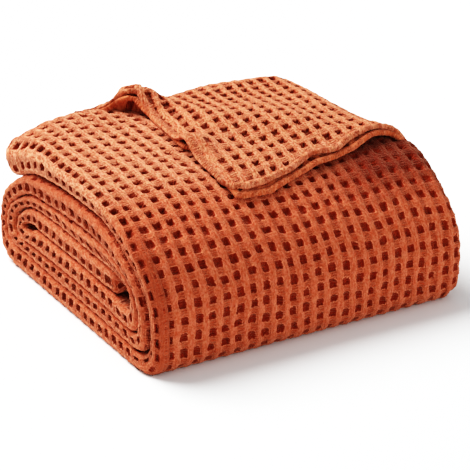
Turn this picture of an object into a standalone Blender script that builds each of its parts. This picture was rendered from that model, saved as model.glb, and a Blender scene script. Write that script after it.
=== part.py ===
import math

import bmesh
import bpy

# Folded waffle weave blanket. X runs along the front, Y to the rear, Z up.
# The shape is laid out in weave cells and scaled by the size of one cell.
CELL = 0.013
# middle of the footprint in cells, which becomes the origin
MIDDLE = (8.475, 4.265)

# heights of the seams between the seven passes, in cells, at depths y
SEAM_DEPTH = (-4.0, -2.0, 0.0, 3.0, 6.0, 9.0, 11.0, 13.6)
SEAMS = {
    "floor": (0.0, 0.0, 0.0, 0.0, 0.0, 0.0, 0.0, 0.0),
    "seam_67": (1.22, 1.26, 1.30, 1.34, 1.36, 1.46, 1.60, 1.75),
    "seam_56": (2.20, 2.32, 2.42, 2.55, 2.55, 2.52, 2.50, 2.50),
    "seam_45": (3.35, 3.55, 3.75, 3.90, 3.90, 3.86, 3.75, 3.65),
    "seam_34": (5.30, 5.35, 5.40, 5.50, 5.55, 5.40, 5.15, 4.95),
    "seam_23": (6.45, 6.65, 6.75, 6.70, 6.55, 6.35, 6.10, 5.85),
    "seam_12": (7.65, 7.95, 8.12, 8.22, 8.17, 7.87, 7.47, 7.25),
    "crest": (7.85, 8.95, 9.45, 9.83, 9.97, 10.05, 10.05, 9.95),
}
HALF_GAP = 0.055

# turns of the strip: side is outer or inner face; low and up are where the curve leaves the
# lower and the upper pass, tip is its furthest depth, mid_low and mid_up the straight between
TURNS = {
    "rear_45": {
        "outer": {"low": (10.9, "seam_56", 1), "up": (9.2, "seam_34", -1), "tip": 12.15,
                  "mid_low": 3.35, "mid_up": 3.60},
        "inner": {"low": (10.1, 3.38, 0), "up": (9.5, 4.08, 0), "tip": 11.35,
                  "mid_low": 3.66, "mid_up": 3.76},
    },
    "front_35": {
        "outer": {"low": (-3.7, "seam_56", 1), "up": (0.8, "seam_23", -1), "tip": -4.86,
                  "mid_low": 3.05, "mid_up": 3.65},
        "inner": {"low": (-3.2, "seam_45", -1), "up": (-1.6, "seam_34", 1), "tip": -3.98,
                  "mid_low": 4.00, "mid_up": 4.50},
    },
    "rear_36": {
        "outer": {"low": (12.0, "seam_67", 1), "up": (8.8, "seam_23", -1), "tip": 13.88,
                  "mid_low": 2.60, "mid_up": 3.00},
        "inner": {"low": (11.3, "seam_56", -1), "up": (8.8, "seam_34", 1), "tip": 12.80,
                  "mid_low": 3.15, "mid_up": 3.50},
    },
    "front_26": {
        "outer": {"low": (-4.6, "seam_67", 1), "up": (2.0, "seam_12", -1), "tip": -5.74,
                  "mid_low": 2.15, "mid_up": 2.95},
        "inner": {"low": (-3.9, "seam_56", -1), "up": (1.0, "seam_23", 1), "tip": -5.00,
                  "mid_low": 2.90, "mid_up": 3.50},
    },
    "rear_27": {
        "outer": {"low": (12.9, "floor", 0), "up": (9.0, "seam_12", -1), "tip": 15.25,
                  "mid_low": 1.60, "mid_up": 2.30},
        "inner": {"low": (12.2, "seam_67", -1), "up": (8.9, "seam_23", 1), "tip": 14.02,
                  "mid_low": 2.40, "mid_up": 2.85},
    },
    "front_17": {
        "outer": {"low": (-5.35, "floor", 0), "up": (2.0, "crest", 0), "tip": -6.72,
                  "mid_low": 1.45, "mid_up": 2.65},
        "inner": {"low": (-4.8, "seam_67", -1), "up": (2.0, "seam_12", 1), "tip": -5.86,
                  "mid_low": 2.05, "mid_up": 2.85},
    },
}
TURN_STEPS = 6

# passes in the order of the winding: from the loose inner end to the top
PASSES = (
    {"name": "pass_4", "outer": "seam_34", "inner": "seam_45", "left": -3.35, "right": 20.25},
    {"name": "pass_5", "outer": "seam_56", "inner": "seam_45", "left": -3.50, "right": 20.45},
    {"name": "pass_3", "outer": "seam_23", "inner": "seam_34", "left": -3.40, "right": 20.40},
    {"name": "pass_6", "outer": "seam_67", "inner": "seam_56", "left": -3.45, "right": 20.55},
    {"name": "pass_2", "outer": "seam_12", "inner": "seam_23", "left": -3.55, "right": 20.30},
    {"name": "pass_7", "outer": "floor", "inner": "seam_67", "left": -3.50, "right": 20.50},
    {"name": "pass_1", "outer": "crest", "inner": "seam_12", "left": -3.45, "right": 20.25},
)
PASS_STEPS = 6

# loose inner end of the strip and the lip at the rear of the top pass
INNER_END = {"depth": -2.15, "nose": 0.72, "steps": 3}
LIP = {"start": 10.0, "centre": 12.20, "reach": 1.45, "under": 7.25, "steps": 5}

EDGE_ROUND = 1.05
EDGE_STEPS = 4
ACROSS_STEPS = 8

# turned-back corner: two plies over the top, from a rear fold to a wavy hem
PLY = 0.30
PLY_GAP = 0.11
PLY_EDGE = 0.16
PLY_NOSE = {"length": 0.015, "bevel": 0.09}
FLAP_REST = 0.09
FLAP_LEFT = {"y": (-2.0, 1.0, 4.0, 7.0, 10.0, 12.4, 13.6),
             "x": (4.9, 5.00, 5.15, 5.45, 5.90, 5.40, 4.00)}
FLAP_RIGHT_X = 19.30
FLAP_FRONT_Y = (-2.0, 0.75)
FLAP_REAR_Y = 13.35
FLAP_STEPS = 15
# the lower ply stands out past the upper one by this part of its length
LOWER_OUT = 0.03
REAR_FOLD = {"steps": 6, "inner": 0.12, "outer": 0.55}
FLAP_ACROSS = (0.0, 0.03, 0.07, 0.14, 0.22, 0.30, 0.38, 0.46, 0.54, 0.62, 0.70, 0.78, 0.86,
               0.93, 1.0)
ARCH = {"x": 5.0, "y": 11.8, "rise": 1.25, "width": 1.30, "run": 2.3}
LIFT = {"x": 5.8, "y": 4.9, "rise": 0.42, "width": 1.0, "run": 1.6}
HEM_WAVES = ({"x": 11.4, "rise": 0.68, "width": 1.5}, {"x": 17.0, "rise": 0.80, "width": 1.9})
HEM_REACH = 3.0
HEM_WIDTH = 0.8
HEM_THICKER = 0.08
ROOT_DEPTH = 12.2
ROOT_SINK = 0.42


def lerp_table(xs, ys, x):
    if x <= xs[0]:
        return ys[0]
    for x0, x1, y0, y1 in zip(xs, xs[1:], ys, ys[1:]):
        if x <= x1:
            return y0 + (y1 - y0) * (x - x0) / (x1 - x0)
    return ys[-1]


def seam(name, y):
    return lerp_table(SEAM_DEPTH, SEAMS[name], y)


def turn_end(spec):
    depth, level, side = spec
    height = seam(level, depth) + side * HALF_GAP if isinstance(level, str) else level
    return depth, height


def turn_curve(face):
    # from the lower pass round the tip to the upper pass
    low_y, low_z = turn_end(face["low"])
    up_y, up_z = turn_end(face["up"])
    points = []
    for step in range(TURN_STEPS + 1):
        a = 0.5 * math.pi * step / TURN_STEPS
        points.append((low_y + (face["tip"] - low_y) * math.sin(a),
                       face["mid_low"] - (face["mid_low"] - low_z) * math.cos(a)))
    for step in range(TURN_STEPS + 1):
        a = 0.5 * math.pi * step / TURN_STEPS
        points.append((up_y + (face["tip"] - up_y) * math.cos(a),
                       face["mid_up"] + (up_z - face["mid_up"]) * math.sin(a)))
    return points


def pass_faces(spec, y_out, y_in):
    # the outer and the inner face of a pass stand half a gap off their seams
    upper_out = seam(spec["outer"], 5.0) > seam(spec["inner"], 5.0)
    sign = 1 if upper_out else -1
    off = 0.0 if spec["outer"] in ("floor", "crest") else HALF_GAP
    return (y_out, seam(spec["outer"], y_out) - sign * off), \
        (y_in, seam(spec["inner"], y_in) + sign * HALF_GAP)


def strip_stations():
    # pairs of an outer and an inner point along the strip, with its left and right edge
    order = ("rear_45", "front_35", "rear_36", "front_26", "rear_27", "front_17")
    curves = []
    for index, name in enumerate(order):
        outer = turn_curve(TURNS[name]["outer"])
        inner = turn_curve(TURNS[name]["inner"])
        # the winding goes down at the rear and up at the front
        if index % 2 == 0:
            outer.reverse()
            inner.reverse()
        curves.append((outer, inner))
    stations = []
    first = PASSES[0]
    start_y = INNER_END["depth"]
    last_out = (start_y, None)
    last_in = (start_y, None)
    for index, spec in enumerate(PASSES):
        if index < len(curves):
            next_out, next_in = curves[index][0][0], curves[index][1][0]
        else:
            next_out, next_in = (LIP["start"], None), (LIP["start"], None)
        begin = 0 if index == 0 else 1
        end = PASS_STEPS if index < len(curves) else PASS_STEPS + 1
        for step in range(begin, end):
            t = step / PASS_STEPS
            y_out = last_out[0] + (next_out[0] - last_out[0]) * t
            y_in = last_in[0] + (next_in[0] - last_in[0]) * t
            out, inn = pass_faces(spec, y_out, y_in)
            stations.append((out, inn, spec["left"], spec["right"]))
        if index < len(curves):
            outer, inner = curves[index]
            after = PASSES[index + 1]
            for step, (out, inn) in enumerate(zip(outer, inner)):
                t = step / (len(outer) - 1)
                left = spec["left"] + (after["left"] - spec["left"]) * t
                right = spec["right"] + (after["right"] - spec["right"]) * t
                stations.append((out, inn, left, right))
            last_out, last_in = outer[-1], inner[-1]
    # rounded nose of the loose inner end
    out, inn = pass_faces(first, start_y, start_y)
    middle = 0.5 * (out[1] + inn[1])
    half = 0.5 * (out[1] - inn[1])
    nose = []
    for step in range(INNER_END["steps"], 0, -1):
        a = 0.5 * math.pi * step / (INNER_END["steps"] + 0.35)
        y = start_y - INNER_END["nose"] * math.sin(a)
        h = half * math.cos(a)
        nose.append(((y, middle + h), (y, middle - h), first["left"] + 0.1, first["right"] - 0.1))
    stations = nose + stations
    # lip: the top pass swells and ends in a round nose
    top = PASSES[-1]
    for step in range(1, 4):
        t = step / 3
        y = LIP["start"] + (LIP["centre"] - LIP["start"]) * t
        under = seam("seam_12", y) + HALF_GAP
        under = under + (LIP["under"] - under) * t
        stations.append(((y, seam("crest", y)), (y, under), top["left"], top["right"]))
    high = seam("crest", LIP["centre"])
    middle = 0.5 * (high + LIP["under"])
    half = 0.5 * (high - LIP["under"])
    for step in range(1, LIP["steps"] + 1):
        a = 0.5 * math.pi * step / (LIP["steps"] + 0.35)
        y = LIP["centre"] + LIP["reach"] * math.sin(a)
        h = half * math.cos(a)
        stations.append(((y, middle + h), (y, middle - h),
                         top["left"] + 0.12 * (1 - math.cos(a)), top["right"] - 0.05))
    return stations


def ring(out, inn, left, right, edge):
    # closed loop round the strip: flat on both faces, round along both edges
    centre_y, centre_z = 0.5 * (out[0] + inn[0]), 0.5 * (out[1] + inn[1])
    half_y, half_z = 0.5 * (out[0] - inn[0]), 0.5 * (out[1] - inn[1])
    flat_left, flat_right = left + edge, right - edge
    loop = []
    for step in range(ACROSS_STEPS + 1):
        x = flat_left + (flat_right - flat_left) * step / ACROSS_STEPS
        loop.append((x, out[0], out[1]))
    for step in range(1, EDGE_STEPS):
        a = math.pi * step / EDGE_STEPS
        loop.append((flat_right + edge * math.sin(a), centre_y + half_y * math.cos(a),
                     centre_z + half_z * math.cos(a)))
    for step in range(ACROSS_STEPS + 1):
        x = flat_right + (flat_left - flat_right) * step / ACROSS_STEPS
        loop.append((x, inn[0], inn[1]))
    for step in range(1, EDGE_STEPS):
        a = math.pi * step / EDGE_STEPS
        loop.append((flat_left - edge * math.sin(a), centre_y - half_y * math.cos(a),
                     centre_z - half_z * math.cos(a)))
    return loop


def bump(value, centre, width):
    return math.exp(-((value - centre) / width) ** 2)


def settle(x, y, z):
    # slow unevenness of the whole stack; nothing moves at the floor
    ramp = min(max(z / 9.0, 0.0), 1.0)
    rear = bump(y, 12.5, 3.5)
    rear_rise = rear * (0.34 * bump(x, 2.2, 2.6) - 0.12 * (1.0 + math.tanh(x - 7.0)))
    behind = 0.5 * (1.0 + math.tanh(0.7 * (y - 1.5)))
    shoulder = 0.15 * behind * max(x - 17.1, 0.0) ** 2
    draw_in = 0.05 * behind * max(x - 8.0, 0.0)
    sway = 0.10 * math.sin(0.42 * x + 0.6) + 0.07 * math.sin(0.9 * x + 0.3 * y)
    dz = ramp * ramp * (rear_rise - shoulder + 0.6 * sway)
    dx = ramp * (0.10 * math.sin(0.35 * y + 0.8 * z) - draw_in)
    dy = 0.07 * ramp * math.sin(0.5 * x + 0.7 * z)
    return x + dx, y + dy, z + dz


def body_top(x, y):
    # height of the top pass; the front falls away as a quarter of an ellipse
    front = TURNS["front_17"]["outer"]
    start_y, start_z = turn_end(front["up"])
    if y < start_y:
        a = min((start_y - y) / (start_y - front["tip"]), 1.0)
        z = front["mid_up"] + (start_z - front["mid_up"]) * math.sqrt(1.0 - a * a)
    else:
        z = seam("crest", y)
    return z


def flap_height(x, y, front_y):
    # upper face of the upper ply over the body
    z = body_top(x, max(y, -2.6)) + FLAP_REST + 2 * PLY + PLY_GAP
    arch = ARCH["rise"] * bump(y, ARCH["y"], ARCH["width"]) * bump(x, ARCH["x"], ARCH["run"])
    lift = LIFT["rise"] * bump(y, LIFT["y"], LIFT["width"]) * bump(x, LIFT["x"], LIFT["run"])
    z += arch + lift
    near = math.exp(-max(y - front_y, 0.0) / HEM_REACH)
    for wave in HEM_WAVES:
        z += wave["rise"] * bump(x, wave["x"], wave["width"]) * near
    return z


def flap_point(u, v, depth):
    # u from the rear fold (0) to the hem (1), v across, depth below the upper face
    front_y = FLAP_FRONT_Y[0] + (FLAP_FRONT_Y[1] - FLAP_FRONT_Y[0]) * v
    y = FLAP_REAR_Y + (front_y - FLAP_REAR_Y) * u
    left_x = lerp_table(FLAP_LEFT["y"], FLAP_LEFT["x"], y)
    x = left_x + (FLAP_RIGHT_X - left_x) * v
    z = flap_height(x, y, front_y) - depth
    # the fold is rooted in the lip
    root = min(max((y - ROOT_DEPTH) / (FLAP_REAR_Y - ROOT_DEPTH), 0.0), 1.0)
    z -= ROOT_SINK * root * root * (3 - 2 * root)
    return x, y, z


def hem_swell(u, v):
    # the hem is a narrow doubled band along the left edge and the front
    across = bump(v, 0.0, HEM_WIDTH / (FLAP_RIGHT_X - FLAP_LEFT["x"][0]))
    along = bump(u, 1.0, HEM_WIDTH / (FLAP_REAR_Y - FLAP_FRONT_Y[0]))
    return HEM_THICKER * max(across, along)


def flap_ring(u, inner, outer, reach=0.0):
    # loop round a ply: inner and outer are depths below the upper face of the flap
    loop = []
    side = 1.0 if outer > inner else -1.0
    middle = 0.5 * (inner + outer)
    half = 0.5 * (outer - inner)
    for v in FLAP_ACROSS:
        x, y, z = flap_point(u, v, inner - side * hem_swell(u, v) * 0.3)
        loop.append((x, y + reach, z))
    x, y, z = flap_point(u, 1.0, middle)
    loop.append((x + PLY_EDGE, y + reach, z + 0.5 * half))
    loop.append((x + PLY_EDGE, y + reach, z - 0.5 * half))
    for v in reversed(FLAP_ACROSS):
        x, y, z = flap_point(u, v, outer + side * hem_swell(u, v) * 0.7)
        loop.append((x, y + reach, z))
    x, y, z = flap_point(u, 0.0, middle)
    loop.append((x - PLY_EDGE, y + reach, z - 0.5 * half))
    loop.append((x - PLY_EDGE, y + reach, z + 0.5 * half))
    return loop


def flap_rings():
    rings = []
    lower_top = PLY + PLY_GAP
    lower_end = 2 * PLY + PLY_GAP
    # lower ply from its hem to the rear; its corner stands out past the upper one
    nose, bevel = PLY_NOSE["length"], PLY_NOSE["bevel"]
    rings.append(flap_ring(1.0 + LOWER_OUT + nose, lower_top + bevel, lower_end - bevel))
    for step in range(FLAP_STEPS, -1, -1):
        u = (1.0 + LOWER_OUT) * step / FLAP_STEPS
        rings.append(flap_ring(u, lower_top, lower_end))
    # fold at the rear
    middle = 0.5 * lower_end
    for step in range(1, REAR_FOLD["steps"]):
        a = math.pi * step / REAR_FOLD["steps"]
        inner = 0.5 * PLY_GAP
        outer = 0.5 * lower_end
        near = middle + inner * math.cos(a)
        far = middle + outer * math.cos(a)
        upper_loop = flap_ring(0.0, near, far, REAR_FOLD["inner"] * math.sin(a))
        lower_loop = flap_ring(0.0, near, far, REAR_FOLD["outer"] * math.sin(a))
        half = len(upper_loop) // 2
        loop = upper_loop[:half] + lower_loop[half:]
        rings.append(loop)
    # the inner face of the upper ply looks down
    for step in range(0, FLAP_STEPS + 1):
        rings.append(flap_ring(step / FLAP_STEPS, PLY, 0.0))
    rings.append(flap_ring(1.0 + nose, PLY - bevel, bevel))
    return rings


def loft(name, loops, collection, material):
    mesh = bpy.data.meshes.new(name)
    grid = bmesh.new()
    rows = []
    for loop in loops:
        row = []
        for x, y, z in loop:
            sx, sy, sz = settle(x, y, z)
            row.append(grid.verts.new(((sx - MIDDLE[0]) * CELL, (sy - MIDDLE[1]) * CELL,
                                       sz * CELL)))
        rows.append(row)
    for row, after in zip(rows, rows[1:]):
        for index in range(len(row)):
            nxt = (index + 1) % len(row)
            grid.faces.new((row[index], row[nxt], after[nxt], after[index]))
    for row in (rows[0], rows[-1]):
        # both ends close as a strip of quads between the two faces
        count = len(row)
        half = count // 2
        for index in range(half - 1):
            a, b = row[index], row[index + 1]
            c, d = row[count - 2 - index], row[count - 1 - index]
            if len({a, b, c, d}) == 4:
                grid.faces.new((a, b, c, d))
    bmesh.ops.recalc_face_normals(grid, faces=grid.faces)
    grid.to_mesh(mesh)
    grid.free()
    part = bpy.data.objects.new(name, mesh)
    part.data.materials.append(material)
    collection.objects.link(part)
    return part


def fabric_material():
    material = bpy.data.materials.new("terracotta cotton")
    material.use_nodes = True
    shader = material.node_tree.nodes["Principled BSDF"]
    shader.inputs["Base Color"].default_value = (0.62, 0.20, 0.07, 1.0)
    shader.inputs["Roughness"].default_value = 0.92
    shader.inputs["Metallic"].default_value = 0.0
    return material


def collection_named(name):
    group = bpy.data.collections.new(name)
    bpy.context.scene.collection.children.link(group)
    return group


for leftover in list(bpy.data.objects):
    bpy.data.objects.remove(leftover, do_unlink=True)

blanket_group = collection_named("folded_blanket")
helper_group = collection_named("joined_pieces")
cotton = fabric_material()
strip = loft("blanket", [ring(out, inn, left, right, EDGE_ROUND)
                         for out, inn, left, right in strip_stations()],
             blanket_group, cotton)
flap = loft("turned_corner", flap_rings(), helper_group, cotton)
flap.hide_render = True
join = strip.modifiers.new("join corner", "BOOLEAN")
join.operation = "UNION"
join.solver = "EXACT"
join.object = flap
for face in strip.data.polygons:
    face.use_smooth = True
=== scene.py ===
import math

import bpy
import numpy as np
from mathutils import Matrix, Vector


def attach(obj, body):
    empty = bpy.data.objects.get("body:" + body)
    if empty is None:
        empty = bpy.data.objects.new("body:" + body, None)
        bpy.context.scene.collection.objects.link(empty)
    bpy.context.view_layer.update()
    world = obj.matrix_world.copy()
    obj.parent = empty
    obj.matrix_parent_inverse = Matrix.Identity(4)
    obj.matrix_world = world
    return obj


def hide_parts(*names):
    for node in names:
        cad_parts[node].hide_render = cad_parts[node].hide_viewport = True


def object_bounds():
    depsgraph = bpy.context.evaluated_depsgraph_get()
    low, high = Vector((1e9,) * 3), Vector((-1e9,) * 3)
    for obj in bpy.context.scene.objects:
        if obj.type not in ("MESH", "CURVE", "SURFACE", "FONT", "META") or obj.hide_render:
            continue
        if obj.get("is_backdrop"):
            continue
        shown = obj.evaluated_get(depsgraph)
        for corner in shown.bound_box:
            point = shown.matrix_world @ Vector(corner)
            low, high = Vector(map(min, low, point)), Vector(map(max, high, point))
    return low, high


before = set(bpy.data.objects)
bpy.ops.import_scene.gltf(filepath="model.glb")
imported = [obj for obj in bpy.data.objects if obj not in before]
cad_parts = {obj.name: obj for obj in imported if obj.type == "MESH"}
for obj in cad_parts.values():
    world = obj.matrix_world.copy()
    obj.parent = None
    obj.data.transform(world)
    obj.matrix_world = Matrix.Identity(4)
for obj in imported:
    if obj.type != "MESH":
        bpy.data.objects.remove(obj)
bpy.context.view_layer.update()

# Everything is laid out in weave cells, x along the front, y to the rear, z up, as the frame is.
cloth = {
    "cell": 0.013,            # metres across one waffle cell
    "pitch": 1.049,           # cell length along the strip, in cells
    "middle": (8.475, 4.265),  # middle of the footprint, in cells
    "gap": 0.055,             # half the gap between two passes
    "proud": 0.08,            # how far rib tops stand off the solid
    "fuzz": 0.014,            # unevenness of the yarns
    "edgeRound": 1.05,        # how far the rounded side edges reach
    "edgeHalf": 0.62,         # half a pass, for lengths round a side edge
    "edgeCells": 1.55,        # weave cells round a quarter of a side edge
    "leftP": -2.4,            # weave coordinates where the side edges begin
    "rightP": 19.2,
    "middleX": 8.4,           # middle of the width
    "floorGap": 0.02,         # the weave stays this far over the floor
    "flat": (1.24, 1.96),     # the cut cloth, width and length in metres
}

# heights of the seams between the seven passes of the wound strip, at depths y
seamDepth = (-4.0, -2.0, 0.0, 3.0, 6.0, 9.0, 11.0, 13.6)
seams = {
    "floor": (0.0, 0.0, 0.0, 0.0, 0.0, 0.0, 0.0, 0.0),
    "seam67": (1.22, 1.26, 1.30, 1.34, 1.36, 1.46, 1.60, 1.75),
    "seam56": (2.20, 2.32, 2.42, 2.55, 2.55, 2.52, 2.50, 2.50),
    "seam45": (3.35, 3.55, 3.75, 3.90, 3.90, 3.86, 3.75, 3.65),
    "seam34": (5.30, 5.35, 5.40, 5.50, 5.55, 5.40, 5.15, 4.95),
    "seam23": (6.45, 6.65, 6.75, 6.70, 6.55, 6.35, 6.10, 5.85),
    "seam12": (7.65, 7.95, 8.12, 8.22, 8.17, 7.87, 7.47, 7.25),
    "crest": (7.85, 8.95, 9.45, 9.83, 9.97, 10.05, 10.05, 9.95),
}

# turns of the strip, from the loose inner end outward; low and up are where a face leaves the
# lower and upper pass (depth, level, side of the seam), then the tip and the middle heights
turns = [
    {"outer": ((10.9, "seam56", 1), (9.2, "seam34", -1), 12.15, 3.35, 3.60),
     "inner": ((10.1, 3.38, 0), (9.5, 4.08, 0), 11.35, 3.66, 3.76)},
    {"outer": ((-3.7, "seam56", 1), (0.8, "seam23", -1), -4.86, 3.05, 3.65),
     "inner": ((-3.2, "seam45", -1), (-1.6, "seam34", 1), -3.98, 4.00, 4.50), "drawn": -0.05},
    {"outer": ((12.0, "seam67", 1), (8.8, "seam23", -1), 13.88, 2.60, 3.00),
     "inner": ((11.3, "seam56", -1), (8.8, "seam34", 1), 12.80, 3.15, 3.50)},
    {"outer": ((-4.6, "seam67", 1), (2.0, "seam12", -1), -5.74, 2.15, 2.95),
     "inner": ((-3.9, "seam56", -1), (1.0, "seam23", 1), -5.00, 2.90, 3.50), "drawn": 0.0},
    {"outer": ((12.9, "floor", 0), (9.0, "seam12", -1), 14.88, 1.60, 2.30),
     "inner": ((12.2, "seam67", -1), (8.9, "seam23", 1), 14.02, 2.40, 2.85)},
    {"outer": ((-5.75, "floor", 0), (2.0, "crest", 0), -6.72, 1.35, 2.65),
     "inner": ((-4.8, "seam67", -1), (2.0, "seam12", 1), -5.86, 2.05, 2.85), "drawn": 0.38},
]
# passes in the order of the winding, with the seams of their faces and their side edges
passes = [
    ("seam34", "seam45", -3.30, 20.05),
    ("seam56", "seam45", -3.45, 20.25),
    ("seam23", "seam34", -3.35, 20.20),
    ("seam67", "seam56", -3.40, 20.35),
    ("seam12", "seam23", -3.45, 20.10),
    ("floor", "seam67", -3.45, 20.02),
    ("crest", "seam12", -3.42, 20.42),
]
innerEnd = {"depth": -1.75, "nose": 0.55, "tuck": 0.15}
lip = {"centre": 12.20, "reach": 1.45, "under": 7.25, "swellFrom": 10.0, "past": 2.0}
# points along each pass, and along each half of a turn
passSteps = 70
turnSteps = 24


def smoothStep(x):
    x = np.clip(x, 0.0, 1.0)
    return x * x * (3 - 2 * x)


def rising(x, start, run):
    return smoothStep((x - start) / run)


def falling(x, start, run):
    return smoothStep((start - x) / run)


def bump(value, centre, width):
    return np.exp(-((value - centre) / width) ** 2)


def seamHeight(name, y):
    return np.interp(y, seamDepth, seams[name])


def turnEnd(spec):
    depth, level, side = spec
    height = seamHeight(level, depth) + side * cloth["gap"] if isinstance(level, str) else level
    return depth, height


def turnCurve(face):
    low, up, tip, midLow, midUp = face
    (lowY, lowZ), (upY, upZ) = turnEnd(low), turnEnd(up)
    a = np.linspace(0, math.pi / 2, turnSteps)
    first = np.stack([lowY + (tip - lowY) * np.sin(a), midLow - (midLow - lowZ) * np.cos(a)], 1)
    second = np.stack([upY + (tip - upY) * np.cos(a), midUp + (upZ - midUp) * np.sin(a)], 1)
    return np.concatenate([first, second])


def passFace(name, other, y):
    # a face stands half a gap off its seam, towards the other face
    if name in ("floor", "crest"):
        return seamHeight(name, y)
    side = np.sign(seamHeight(other, 5.0) - seamHeight(name, 5.0))
    return seamHeight(name, y) + side * cloth["gap"]


def stripRows():
    # outer and inner face points of the strip with its side edges, from the loose end to the lip
    rows, marks = [], {}
    outStart = inStart = np.array([innerEnd["depth"], 0.0])
    for index, (outName, inName, left, right) in enumerate(passes):
        last = index == len(passes) - 1
        if last:
            outEnd = inEnd = np.array([lip["centre"] + lip["past"], 0.0])
        else:
            outTurn, inTurn = turnCurve(turns[index]["outer"]), turnCurve(turns[index]["inner"])
            if index % 2 == 0:
                outTurn, inTurn = outTurn[::-1], inTurn[::-1]
            outEnd, inEnd = outTurn[0], inTurn[0]
        # the points where a pass meets a turn belong to the turn
        begin = 0 if index == 0 else 1
        end = passSteps if last else passSteps - 1
        for t in np.linspace(0, 1, passSteps)[begin:end]:
            yOut = outStart[0] + (outEnd[0] - outStart[0]) * t
            yIn = inStart[0] + (inEnd[0] - inStart[0]) * t
            zOut, zIn = passFace(outName, inName, yOut), passFace(inName, outName, yIn)
            if last:
                swell = smoothStep((yIn - lip["swellFrom"]) / (lip["centre"] - lip["swellFrom"]))
                zIn = zIn + (lip["under"] - zIn) * swell
            # the loose end is drawn in from the side, which leaves a hollow
            tuck = innerEnd["tuck"] * bump(yOut, innerEnd["depth"], 1.0) if index == 0 else 0.0
            rows.append((yOut, zOut, yIn, zIn, left + tuck, right))
        if not last:
            marks["turn%d" % index] = len(rows)
            nextLeft, nextRight = passes[index + 1][2:]
            drawn = turns[index].get("drawn", 0.0)
            for t, o, n in zip(np.linspace(0, 1, len(outTurn)), outTurn, inTurn):
                rows.append((*o, *n, left + (nextLeft - left) * t + drawn * math.sin(math.pi * t),
                             right + (nextRight - right) * t))
            outStart, inStart = outTurn[-1], inTurn[-1]
    return np.array(rows), marks


def evenRows(rows, step=0.05, soften=0.22):
    # even spacing along the outer face, with the kinks of the tables softened
    length = np.concatenate([[0], np.cumsum(np.hypot(*np.diff(rows[:, :2], axis=0).T))])
    at = np.arange(0, length[-1], step)
    even = np.stack([np.interp(at, length, rows[:, k]) for k in range(rows.shape[1])], 1)
    reach = int(3 * soften / step)
    kernel = np.exp(-0.5 * (np.arange(-reach, reach + 1) * step / soften) ** 2)
    kernel /= kernel.sum()
    padded = np.concatenate([even[:1].repeat(reach, 0), even, even[-1:].repeat(reach, 0)])
    soft = np.stack([np.convolve(padded[:, k], kernel, "valid") for k in range(rows.shape[1])], 1)
    return at, soft, length


rows, marks = stripRows()
stripAt, stripSoft, rawLength = evenRows(rows)


def stripStations(at):
    table = np.stack([np.interp(at, stripAt, stripSoft[:, k]) for k in range(6)], 1)
    return {"outer": table[:, :2], "inner": table[:, 2:4],
            "left": table[:, 4], "right": table[:, 5]}


# rows of pits are counted from the one over y = 0 on the top pass, which is row 10
topRow = 10.0
onTop = stripAt > rawLength[marks["turn5"] + turnSteps + 1]  # from the tip of the front on
zeroAt = np.interp(0.0, stripSoft[onTop][:, 0], stripAt[onTop])
lipAt = np.interp(lip["centre"], stripSoft[onTop][:, 0], stripAt[onTop])


def rowAt(q):
    return zeroAt + (topRow - q) * cloth["pitch"]


def atRow(at):
    return topRow - (at - zeroAt) / cloth["pitch"]


# slow unevenness of the whole stack
slump = {
    "height": 9.0,   # full from this height on
    # the rear stands up at the left and lies low at the right
    "rear": (12.5, 3.5), "rise": 0.42, "riseAt": (1.6, 3.0), "fall": 0.12, "fallFrom": 7.0,
    # behind the front, the right shoulder rounds off and the right end draws in
    "behindFrom": 1.5, "behindRate": 0.7,
    "shoulder": 0.15, "shoulderFrom": 17.1, "drawIn": 0.05, "drawInFrom": 8.0,
    # left rear corner of the lip
    "lip": (12.9, 1.9), "lipLeft": (-0.4, 2.6), "lipOut": 0.35, "lipDown": 0.55,
}


def settle(points):
    # nothing moves at the floor
    x, y, z = points[..., 0], points[..., 1], points[..., 2]
    ramp = np.clip(z / slump["height"], 0.0, 1.0)
    fall = slump["fall"] * (1.0 + np.tanh(x - slump["fallFrom"]))
    rearRise = bump(y, *slump["rear"]) * (slump["rise"] * bump(x, *slump["riseAt"]) - fall)
    behind = 0.5 * (1.0 + np.tanh(slump["behindRate"] * (y - slump["behindFrom"])))
    shoulder = slump["shoulder"] * behind * np.maximum(x - slump["shoulderFrom"], 0.0) ** 2
    drawIn = slump["drawIn"] * behind * np.maximum(x - slump["drawInFrom"], 0.0)
    sway = 0.10 * np.sin(0.42 * x + 0.6) + 0.07 * np.sin(0.9 * x + 0.3 * y)
    dz = ramp * ramp * (rearRise - shoulder + 0.6 * sway)
    dx = ramp * (0.10 * np.sin(0.35 * y + 0.8 * z) - drawIn)
    # the left rear corner of the lip hangs out and down
    hanging = ramp * bump(y, *slump["lip"]) * falling(x, *slump["lipLeft"])
    dx = dx - slump["lipOut"] * hanging
    dz = dz - slump["lipDown"] * hanging
    dy = 0.07 * ramp * np.sin(0.5 * x + 0.7 * z)
    return np.stack([x + dx, y + dy, z + dz], -1)


# the waffle: pits at whole numbers of (p, q), ribs along the strip between them
diceSide = 64
dice = np.random.default_rng(7).uniform(-1, 1, (5, diceSide, diceSide))
dust = np.random.default_rng(11)
cellSteps = (-0.5, -0.40, -0.32, -0.25, -0.15, 0.0, 0.15, 0.25, 0.32, 0.40)


def cellSamples(start, end, steps=cellSteps, clear=0.03):
    # samples through every cell, none closer to the two ends than clear
    whole = np.arange(math.floor(start) - 1, math.ceil(end) + 2)
    values = (whole[:, None] + np.array(steps)[None]).ravel()
    inside = values[(values > start + clear) & (values < end - clear)]
    return np.concatenate([[start], inside, [end]])


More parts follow.
